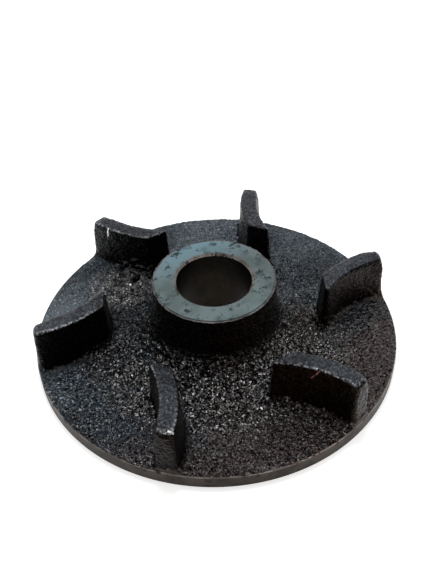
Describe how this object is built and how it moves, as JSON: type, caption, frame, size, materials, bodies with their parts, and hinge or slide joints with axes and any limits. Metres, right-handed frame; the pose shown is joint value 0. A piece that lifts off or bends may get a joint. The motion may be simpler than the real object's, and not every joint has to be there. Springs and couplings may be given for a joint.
{
  "type": "pump impeller",
  "caption": "Open cast-iron pump impeller: a flat round disc with curved upright vanes and a flared central hub, bored through for a press fit on a shaft.",
  "frame": {"origin": "centre of the bore at the flat back face", "axes": "+Z along the bore from the back face towards the vanes and the hub face; one vane's tip lies 14.7 degrees from +X towards +Y"},
  "size_m": [0.078, 0.078, 0.017],
  "materials": {
    "cast_iron": "sand-cast, dark grey; rim, bore and hub face turned"
  },
  "bodies": {
    "root": {"impeller": "cast_iron"}
  },
  "joints": []
}
